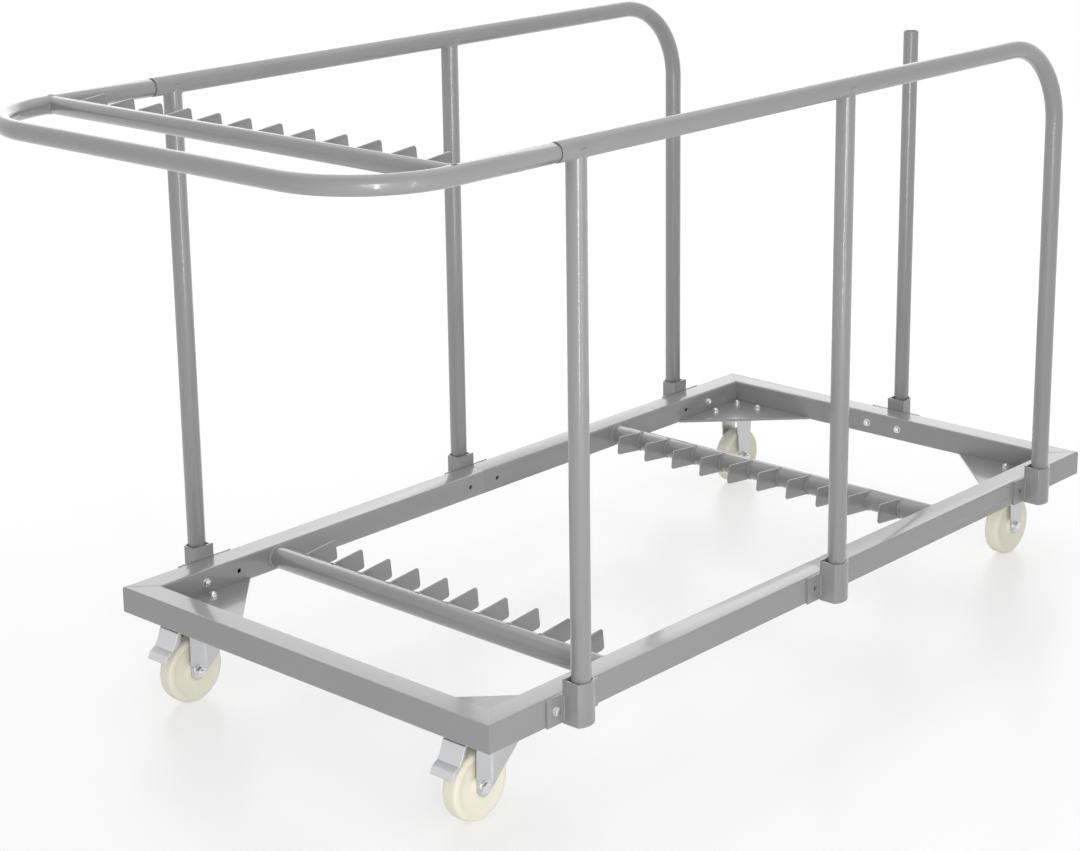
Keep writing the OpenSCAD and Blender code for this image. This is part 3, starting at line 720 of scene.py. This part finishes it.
# %% [markdown]
# ## Push handle and lift-out post
# The handle is one tube bent to a U. It plugs into the open front ends of the rails: the end is
# swaged smaller, and the shoulder shows as a dark ring. One half is drawn and mirrored. The rear
# post is loose, with open ends.

# %% Handle
HANDLE_R, SWAGE_R = 16 * MM, 14.8 * MM
HANDLE_BEND = 175 * MM
SHOULDER = 2 * MM
low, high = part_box("push_handle")
left_y, right_y = high.y - HANDLE_R, low.y + HANDLE_R
grip_x = low.x + HANDLE_R


def squeeze(bm, ring, factor):
    """Scales a ring of the handle's right tube about the tube's own line."""
    bmesh.ops.scale(bm, vec=(1, factor, factor), verts=ring_points(ring),
                    space=Matrix.Translation((0, -right_y, -rail_z)))


bm = bmesh.new()
ring = start_ring(bm, (high.x, right_y, rail_z), (-1, 0, 0), HANDLE_R)
squeeze(bm, ring, SWAGE_R / HANDLE_R)
ring = push(bm, ring, (rail_start - SHOULDER - high.x, 0, 0))
ring = push(bm, ring, (-SHOULDER, 0, 0))
squeeze(bm, ring, HANDLE_R / SWAGE_R)
ring = push(bm, ring, (grip_x + HANDLE_BEND - rail_start + 2 * SHOULDER, 0, 0))
ring = bend(bm, ring, (grip_x + HANDLE_BEND, right_y + HANDLE_BEND, rail_z), (0, 0, -1), 90)
push(bm, ring, (0, -right_y - HANDLE_BEND, 0))
bmesh.ops.mirror(bm, geom=everything(bm), matrix=Matrix.Identity(4), merge_dist=0.01 * MM,
                 axis="Y")
tube_piece("push_handle_tube", bm, TUBE_WALL, "frame", "push_handle")

# %% Lift-out post
LIFT_POST_R = 16 * MM
low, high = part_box("rear_lift_out_post")
place = centre("rear_lift_out_post")
bm, _ = straight_run((place.x, place.y, low.z), (0, 0, high.z - low.z), LIFT_POST_R)
tube_piece("rear_lift_out_post_tube", bm, TUBE_WALL, "lift_out_post", "rear_lift_out_post")

# %% [markdown]
# ## Comb bars
# Three round bars carry rows of welded fins, and a folded table's edge stands between two fins.
# One fin is a flat blank with two rounded outer corners, tilted up a little.

# %% Bars
BARS = {"front_lower_bar": (21 * MM, 2.5 * MM), "rear_lower_bar": (21 * MM, 2.5 * MM),
        "upper_bar": (15.5 * MM, 2 * MM)}  # radius and wall
for bar, (radius, wall) in BARS.items():
    low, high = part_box(bar)
    place = centre(bar)
    bm, _ = straight_run((place.x, low.y, place.z), (0, high.y - low.y, 0), radius)
    tube_piece(bar + "_tube", bm, wall, "frame", bar)

# %% Fins
FIN_T = 4 * MM
FIN_PITCH = 75 * MM
FIN_TILT = math.radians(6)
FIN_CORNER, FIN_RIM = 6 * MM, 1.3 * MM
LOW_FIN, LOW_COUNT = (60 * MM, 40 * MM, 0.5 * MM), 10
HIGH_FIN, HIGH_COUNT = (49 * MM, 28 * MM, 4 * MM), 12


def fin_row(node, bar, shape, count, way):
    """A fin's shape is its reach from the bar, its height and its drop from the bar's top."""
    reach, height, drop = shape
    radius, axis = BARS[bar][0], centre(bar)
    tip = radius + reach
    bm = bmesh.new()
    made = bmesh.ops.create_cube(bm, size=1)["verts"]
    bmesh.ops.scale(bm, vec=(tip, FIN_T, height), verts=made)
    bmesh.ops.translate(bm, vec=(tip / 2, 0, -height / 2), verts=made)
    corners = [e for e in bm.edges if all(v.co.x > tip / 2 for v in e.verts)
               and abs(e.verts[0].co.z - e.verts[1].co.z) < MM]
    round_edges(bm, corners, FIN_CORNER, segments=5)
    rims = [e for e in bm.edges if e.calc_face_angle(0) > math.radians(60)
            and not all(v.co.x < MM for v in e.verts)]
    round_edges(bm, rims, FIN_RIM, segments=3)
    bmesh.ops.rotate(bm, cent=(0, 0, 0), matrix=Matrix.Rotation(-FIN_TILT, 3, "Y"),
                     verts=bm.verts)
    bmesh.ops.scale(bm, vec=(way, 1, 1), verts=bm.verts)
    bmesh.ops.translate(bm, vec=axis + Vector((0, -(count - 1) / 2 * FIN_PITCH, radius - drop)),
                        verts=bm.verts)
    first = everything(bm)
    for i in range(1, count):
        made = bmesh.ops.duplicate(bm, geom=first)["geom"]
        bmesh.ops.translate(bm, vec=(0, i * FIN_PITCH, 0), verts=points_in(made))
    make_piece(node + "_row", bm, "frame", "powder_coated_steel", node)


fin_row("front_lower_fins", "front_lower_bar", LOW_FIN, LOW_COUNT, 1)
fin_row("rear_lower_fins", "rear_lower_bar", LOW_FIN, LOW_COUNT, -1)
fin_row("upper_fins_comb", "upper_bar", HIGH_FIN, HIGH_COUNT, 1)

# %% [markdown]
# ## Wheels
# The wheels are turned bodies, so one outline is drawn from the bore out to the tread and spun
# round the axle. The outline's corners are rounded first, each with its own radius.


# %% Turned bodies
def turned(bm, corners, place, axis, steps=72):
    """Spins an outline of (radius, along, rounding) in millimetres round an axis."""
    place, axis = Vector(place), Vector(axis)
    outward = axis.orthogonal().normalized()
    before = set(bm.faces)
    points = [bm.verts.new(place + (outward * r + axis * a) * MM) for r, a, _ in corners]
    bm.faces.new(points)
    for point, (_, _, rounding) in zip(points, corners):
        if rounding:
            bmesh.ops.bevel(bm, geom=[point], offset=rounding * MM, segments=4, profile=0.5,
                            affect="VERTICES", material=-1)
    outline = next(f for f in bm.faces if f not in before)
    on_axis = {v for v in outline.verts if (v.co - place).dot(outward) < POINT_GAP}
    edges = [e for e in outline.edges if not on_axis.issuperset(e.verts)]
    inner = [e for e in outline.edges if on_axis.issuperset(e.verts)]
    bmesh.ops.delete(bm, geom=[outline], context="FACES_ONLY")
    bmesh.ops.delete(bm, geom=inner, context="EDGES")
    bmesh.ops.spin(bm, geom=edges, cent=place, axis=axis, angle=2 * math.pi, steps=steps,
                   use_merge=True, use_duplicate=False)


# %% Four wheels
WHEEL_OUTLINE = (  # radius, along and rounding, all in millimetres
    (8.3, -20.6, 0.6), (18, -20.6, 1.5), (19.5, -13, 2.5), (47, -13.4, 7), (52, -16, 5),
    (61, -15.2, 5), (62.5, -6, 4), (62.5, 6, 4), (61, 15.2, 5), (52, 16, 5), (47, 13.4, 7),
    (19.5, 13, 2.5), (18, 20.6, 1.5), (8.3, 20.6, 0.6))
for end, side, _ in CASTERS:
    wheel = "%s_%s_wheel" % (end, side)
    bm = bmesh.new()
    turned(bm, WHEEL_OUTLINE, centre(wheel), (0, 1, 0))
    make_piece(wheel + "_moulding", bm, wheel, "cream_plastic", wheel)

# %% [markdown]
# ## Brake pedals
# A pedal is pressed from sheet. Its wide strip starts in front of the fork's pin, climbs over
# the tread and is folded down to a lip for the toe. It is drawn as an edge across the strip
# that is pushed and bent along the path, so each fold gets its real radius. A narrower strip
# joins it to the pin, and a shoe under the crest presses on the tread.

# %% Folded sheet
FOLD_R = 3 * MM
ACROSS_CUTS = 9


def folded(bm, chain, path):
    """Carries an edge chain along a path in X-Z, with a round fold at each corner."""
    cut_before = 0.0
    for i in range(1, len(path)):
        run = path[i] - path[i - 1]
        cut_after, turn = 0.0, 0.0
        if i + 1 < len(path):
            after = path[i + 1] - path[i]
            turn = math.atan2(run.cross(after).y, run.dot(after))
            cut_after = FOLD_R * math.tan(abs(turn) / 2)
        chain = push(bm, chain, run.normalized() * (run.length - cut_before - cut_after))
        if turn:
            inward = run.normalized().cross(Vector((0, 1, 0))) * (-1 if turn > 0 else 1)
            about = path[i] - run.normalized() * cut_after + inward * FOLD_R
            chain = bend(bm, chain, about, (0, 1, 0), math.degrees(turn))
        cut_before = cut_after


def strip(bm, half, path):
    start = [bm.verts.new(path[0] + Vector((0, y, 0))) for y in (-half, half)]
    made = bmesh.ops.subdivide_edges(bm, edges=[bm.edges.new(start)], cuts=ACROSS_CUTS)
    folded(bm, edges_in(made["geom_split"]), path)


# %% Pedals
PEDAL_T, PEDAL_EDGE, SHOE_EDGE = 2.5 * MM, 0.6 * MM, 0.8 * MM
PEDAL_HALF, ARM_HALF, SHOE_HALF = 25 * MM, 19 * MM, 14 * MM
PEDAL_PATH = ((-20, 4), (-46, 14), (-51, -2), (-60, -19), (-72, -26), (-78, -38))
ARM_PATH = ((-5, 1), (-21, 4))
SHOE_SIDE = ((-30, 7.8), (-45.5, 13), (-48, 7.6), (-48, -23.8), (-39, -18.1), (-30, -14.2))
SHOE_FROM = 25 * MM
BOSS_OUTLINE = ((3.3, -19, 0.3), (6, -19, 0.8), (6, 19, 0.8), (3.3, 19, 0.3))  # as for wheels
PIN_X, PIN_UP = 2 * MM, 74.5 * MM


def beside(point, path, y=0.0):
    """Puts X-Z pairs in millimetres beside a point, in the plane at y from it."""
    return [point + Vector((x * MM, y, z * MM)) for x, z in path]


for side, _ in SIDES:
    pedal = "front_%s_brake_pedal" % side
    body = "front_%s_pedal" % side
    pin = centre("front_%s_wheel" % side) + Vector((PIN_X, 0, PIN_UP))
    bm = bmesh.new()
    strip(bm, PEDAL_HALF, beside(pin, PEDAL_PATH))
    strip(bm, ARM_HALF, beside(pin, ARM_PATH))
    piece = make_piece(pedal + "_plate", bm, body, "zinc_sheet", pedal)
    add_wall(piece, PEDAL_T, offset=0, even=False, rim_width=PEDAL_EDGE, rim_angle=60)

    bm = bmesh.new()
    turned(bm, BOSS_OUTLINE, pin, (0, 1, 0), steps=32)
    corners = [bm.verts.new(p) for p in beside(pin, SHOE_SIDE, -SHOE_HALF)]
    raised(bm, [bm.faces.new(corners)], (0, 2 * SHOE_HALF, 0))
    shoe_edges = [e for e in bm.edges if abs(e.verts[0].co.x - pin.x) > SHOE_FROM
                  and e.calc_face_angle(0) > math.radians(30)]
    round_edges(bm, shoe_edges, SHOE_EDGE, segments=2)
    make_piece(pedal + "_shoe", bm, body, "zinc_sheet")

# %% [markdown]
# ## Weld beads
# The frame is welded before it is coated, so the beads are grey too and show only by their
# shape. Round a tube's end the bead is a thin ring. Where a tube meets the side of another, the
# ring is bent round that one like a saddle. A straight bead is a row of small swellings, with
# two steps for each pool of the weld.

# %% Bead shapes
BEAD_SIDES, RING_STEPS = 8, 56
POOL = 3.2 * MM
START_SWELL, BETWEEN_SWELL, END_SWELL = 0.45, 0.82, 0.5


def ring_bead(bm, matrix, radius, size, tube_r=None):
    """A ring about local Z. With tube_r it follows a tube that lies along local X."""
    section = start_ring(bm, (radius, 0, 0), (0, 1, 0), size, BEAD_SIDES)
    known = set(bm.verts) - set(ring_points(section))
    bmesh.ops.spin(bm, geom=section, cent=(0, 0, 0), axis=(0, 0, 1), angle=2 * math.pi,
                   steps=RING_STEPS, use_merge=True, use_duplicate=False)
    made = [v for v in bm.verts if v not in known]
    if tube_r:
        for point in made:
            point.co.z -= math.sqrt(max(tube_r ** 2 - point.co.y ** 2, 0))
    bmesh.ops.transform(bm, matrix=matrix, verts=made)


def straight_bead(bm, start, end, size):
    start, end = Vector(start), Vector(end)
    steps = 2 * max(3, round((end - start).length / POOL))
    step = (end - start) / steps
    ring = start_ring(bm, start, step.normalized(), size * START_SWELL, BEAD_SIDES)
    bmesh.ops.edgeloop_fill(bm, edges=ring)
    place = start.copy()
    for i in range(steps):
        ring = push(bm, ring, step)
        place += step
        swell = BETWEEN_SWELL if i % 2 else 1.0
        if i == steps - 1:
            swell *= END_SWELL
        points = ring_points(ring)
        now = sum((p.co - place).length for p in points) / len(points)
        bmesh.ops.scale(bm, vec=Vector((1, 1, 1)) * size * swell / now, verts=points,
                        space=Matrix.Translation(-place))
    bmesh.ops.edgeloop_fill(bm, edges=ring)


# %% Beads on the side frames and the bars
POST_BEAD, LOW_BAR_BEAD, HIGH_BAR_BEAD = 2.6 * MM, 2.8 * MM, 2.2 * MM
QUARTER = math.pi / 2

bm = bmesh.new()
for side, _ in SIDES:
    for end in ("front", "middle"):
        place = centre("%s_post_%s" % (end, side))
        ring_bead(bm, Matrix.Translation((place.x, place.y, rail_z)), POST_R, POST_BEAD, POST_R)
make_piece("post_top_welds", bm, "frame", "powder_coated_steel")

bm = bmesh.new()
for bar in ("front_lower_bar", "rear_lower_bar"):
    low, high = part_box(bar)
    place = centre(bar)
    for y in (low.y, high.y):
        turn = Matrix.Rotation(QUARTER, 4, "X")
        ring_bead(bm, Matrix.Translation((place.x, y, place.z)) @ turn, BARS[bar][0],
                  LOW_BAR_BEAD)
place = centre("upper_bar")
for y, quarter in ((left_y, -QUARTER), (right_y, QUARTER)):
    turn = Matrix.Rotation(quarter, 4, "X")
    ring_bead(bm, Matrix.Translation((place.x, y, rail_z)) @ turn, BARS["upper_bar"][0],
              HIGH_BAR_BEAD, HANDLE_R)
make_piece("bar_end_welds", bm, "frame", "powder_coated_steel")

# %% Beads at the fins' roots
FIN_BEAD, FIN_BEAD_OUT = 1.9 * MM, 0.7 * MM
FIN_BEAD_SIDES, FIN_BEAD_STEPS = 6, 12


def fin_beads(name, bar, count, way, from_deg, to_deg):
    """Two beads for each fin, which follow the bar's round from one angle to the other."""
    radius, axis = BARS[bar][0], centre(bar)
    lean = math.radians(from_deg)
    out = Vector((way * math.cos(lean), 0, math.sin(lean)))
    along = Vector((way * math.sin(lean), 0, -math.cos(lean)))
    bm = bmesh.new()
    for i in range(count):
        for face in (-1, 1):
            y = axis.y + (i - (count - 1) / 2) * FIN_PITCH + face * (FIN_T / 2 + FIN_BEAD_OUT)
            hub = Vector((axis.x, y, axis.z))
            ring = start_ring(bm, hub + out * radius, along, FIN_BEAD, FIN_BEAD_SIDES)
            bmesh.ops.edgeloop_fill(bm, edges=ring)
            made = bmesh.ops.spin(bm, geom=ring, cent=hub, axis=(0, 1, 0),
                                  angle=way * math.radians(from_deg - to_deg),
                                  steps=FIN_BEAD_STEPS, use_duplicate=False)
            bmesh.ops.edgeloop_fill(bm, edges=edges_in(made["geom_last"]))
    make_piece(name, bm, "frame", "powder_coated_steel")


fin_beads("front_fin_welds", "front_lower_bar", LOW_COUNT, 1, 82, -62)
fin_beads("rear_fin_welds", "rear_lower_bar", LOW_COUNT, -1, 82, -62)
fin_beads("upper_fin_welds", "upper_bar", HIGH_COUNT, 1, 46, -70)

# %% Beads on the base and the sockets
TUBE = 50 * MM
MITRE_FROM, MITRE_TO, MITRE_SUNK, MITRE_BEAD = 3 * MM, 49 * MM, 0.75 * MM, 1.3 * MM
SOCKET_BEAD, BEAD_LOW, BEAD_HIGH = 2.3 * MM, 47 * MM, 3 * MM
BESIDE_SLEEVE, OFF_FACE = SLEEVE_HALF + 0.4 * MM, PLATE_T + 0.3 * MM

bm = bmesh.new()
z = base_high.z - MITRE_SUNK
for x, inward in ((base_low.x, 1), (base_high.x, -1)):
    for y, across in ((base_low.y, 1), (base_high.y, -1)):
        straight_bead(bm, (x + inward * MITRE_FROM, y + across * MITRE_FROM, z),
                      (x + inward * MITRE_TO, y + across * MITRE_TO, z), MITRE_BEAD)
make_piece("mitre_welds", bm, "frame", "powder_coated_steel")

spots = []
for end, side, sign in SOCKETS:
    x = centre("%s_socket_%s" % (end, side)).x
    face = base_high.y if sign > 0 else base_low.y
    spots += [(x + edge * BESIDE_SLEEVE, face + sign * OFF_FACE) for edge in (-1, 1)]
spots += [(base_high.x + OFF_FACE, edge * BESIDE_SLEEVE) for edge in (-1, 1)]
bm = bmesh.new()
for spot in spots:
    straight_bead(bm, (*spot, base_high.z - BEAD_LOW), (*spot, base_high.z - BEAD_HIGH),
                  SOCKET_BEAD)
make_piece("socket_welds", bm, "frame", "powder_coated_steel")

# %% [markdown]
# ## Bolts and nuts
# The CAD bolts are plain hexagons. Real ones have a chamfered head, a washer and a thread that
# stands out of the nut. Each loose solid of a CAD node says where one fastener sits, so the
# new ones always stand in their holes.

# %% Fastener helpers
# Across flats and chamfer of the hexagon, then the washer's radius, thickness, sides, chamfer.
M8 = (13 * MM, 0.9 * MM, 8.6 * MM, 1.3 * MM, 28, 0.3 * MM)
M12 = (18 * MM, 1.2 * MM, 12 * MM, 1.6 * MM, 32, 0.4 * MM)
THREAD_PITCH, THREAD_DEPTH, THREAD_CHAMFER = 1.0, 0.5, 0.9  # millimetres


def prism(bm, base, way, radius, height, sides, chamfer):
    """A straight prism on base, with its far rim chamfered."""
    base, way = Vector(base), Vector(way)
    made = bmesh.ops.create_cone(
        bm, cap_ends=True, segments=sides, radius1=radius, radius2=radius, depth=height,
        matrix=facing(base + way * height / 2, way))["verts"]
    far = {v for v in made if (v.co - base).dot(way) > height * 0.9}
    rim = [e for e in bm.edges if e.verts[0] in far and e.verts[1] in far]
    round_edges(bm, rim, chamfer, segments=2)


def hexagon_on_washer(bm, base, way, size, height):
    flats, chamfer, washer_r, washer_t, washer_sides, washer_chamfer = size
    prism(bm, base, way, flats / math.sqrt(3), height, sides=6, chamfer=chamfer)
    prism(bm, base, way, washer_r, washer_t, washer_sides, washer_chamfer)


def thread_end(bm, base, way, radius, length):
    """Radius and length are in millimetres."""
    root = radius - THREAD_DEPTH
    outline = [(0, -1, 0), (root, -1, 0)]
    along = 0.0
    while along < length - THREAD_PITCH:
        outline += [(root, along, 0), (radius, along + THREAD_PITCH / 2, 0)]
        along += THREAD_PITCH
    outline += [(radius - THREAD_CHAMFER, length, 0), (0, length, 0)]
    turned(bm, outline, base, way, steps=24)


# %% Socket bolts
HEAD_T, NUT_T = 5.3 * MM, 6.5 * MM
M8_THREAD = (4.0, 2.5)  # radius and length in millimetres

bolts, nuts = bmesh.new(), bmesh.new()
for low, high in islands("socket_bolts"):
    middle, size = (low + high) / 2, high - low
    across = max(range(3), key=lambda i: size[i])
    out = Vector((0, 0, 0))
    out[across] = 1 if middle[across] > 0 else -1
    head = middle + out * (size[across] / 2 - HEAD_T)
    hexagon_on_washer(bolts, head, out, M8, HEAD_T)
    inner = head - out * (PLATE_T + TUBE)
    hexagon_on_washer(nuts, inner, -out, M8, NUT_T)
    thread_end(nuts, inner - out * NUT_T, -out, *M8_THREAD)
make_piece("socket_bolt_heads", bolts, "frame", "zinc_fasteners", "socket_bolts")
make_piece("socket_bolt_nuts", nuts, "frame", "zinc_fasteners", "socket_nuts")

# %% Caster bolts
bolts, nuts = bmesh.new(), bmesh.new()
for low, high in islands("caster_nuts"):
    middle = (low + high) / 2
    hexagon_on_washer(nuts, (middle.x, middle.y, low.z), (0, 0, 1), M8, NUT_T)
    thread_end(nuts, (middle.x, middle.y, high.z), (0, 0, 1), *M8_THREAD)
for low, high in islands("caster_bolts"):
    middle = (low + high) / 2
    hexagon_on_washer(bolts, (middle.x, middle.y, low.z + HEAD_T), (0, 0, -1), M8, HEAD_T)
make_piece("caster_bolt_heads", bolts, "frame", "zinc_fasteners", "caster_bolts")
make_piece("caster_bolt_nuts", nuts, "frame", "zinc_fasteners", "caster_nuts")

# %% Axle bolts
AXLE_HEAD_T, AXLE_NUT_T, AXLE_TIP = 7.2 * MM, 9.6 * MM, 3 * MM
SHANK_R = 5.9 * MM
M12_THREAD = (6.0, 3.0)  # radius and length in millimetres

for end, side, sign in CASTERS:
    bolt = "%s_%s_axle_bolt" % (end, side)
    body = "front_%s_swivel" % side if end == "front" else "frame"
    low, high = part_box(bolt)
    hub = centre("%s_%s_wheel" % (end, side))
    reach = high.y - hub.y if sign > 0 else hub.y - low.y
    out = Vector((0, sign, 0))
    head = hub + out * (reach - AXLE_HEAD_T)
    shank = (high.y - low.y) - AXLE_HEAD_T - AXLE_NUT_T - AXLE_TIP
    nut = head - out * shank
    bm = bmesh.new()
    hexagon_on_washer(bm, head, out, M12, AXLE_HEAD_T)
    hexagon_on_washer(bm, nut, -out, M12, AXLE_NUT_T)
    thread_end(bm, nut - out * AXLE_NUT_T, -out, *M12_THREAD)
    prism(bm, nut, out, SHANK_R, shank, sides=24, chamfer=0.1 * MM)
    make_piece(bolt + "_finished", bm, body, "zinc_fasteners", bolt)
